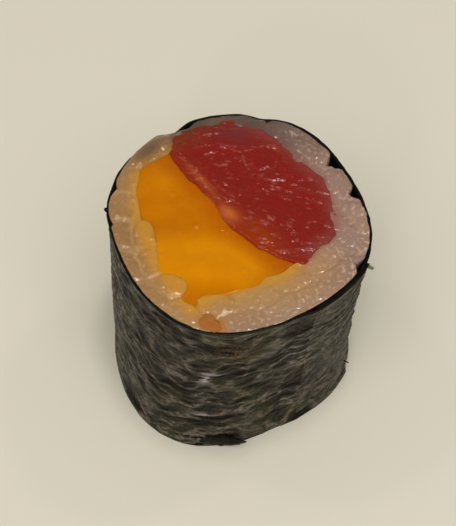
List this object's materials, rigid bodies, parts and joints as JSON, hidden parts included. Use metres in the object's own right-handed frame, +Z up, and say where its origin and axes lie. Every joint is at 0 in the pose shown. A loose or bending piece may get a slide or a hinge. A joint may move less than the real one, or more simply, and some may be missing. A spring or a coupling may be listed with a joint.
{
  "type": "hosomaki",
  "caption": "One cut piece of thin sushi roll: seaweed round a ring of rice, with a strip of mango and a strip of raw tuna at its heart, standing on its cut foot.",
  "frame": {"origin": "under the middle of the piece, on the surface that its cut foot stands on", "axes": "+Z up through the cut face, +X to the right and -Y towards the camera of the picture"},
  "size_m": [0.0277, 0.0286, 0.0229],
  "materials": {
    "seaweed": "wrinkled, damp, dark greenish brown, half matt",
    "rice": "moist and glassy, see-through at the grains' edges, tinted by its neighbours",
    "mango": "smooth, wet, soft gloss",
    "tuna": "wet, fine-fibred, with small bright glints"
  },
  "bodies": {
    "root": {"seaweed": "seaweed", "rice": "rice", "mango": "mango", "tuna": "tuna", "mango_scrap": "mango"}
  },
  "joints": []
}
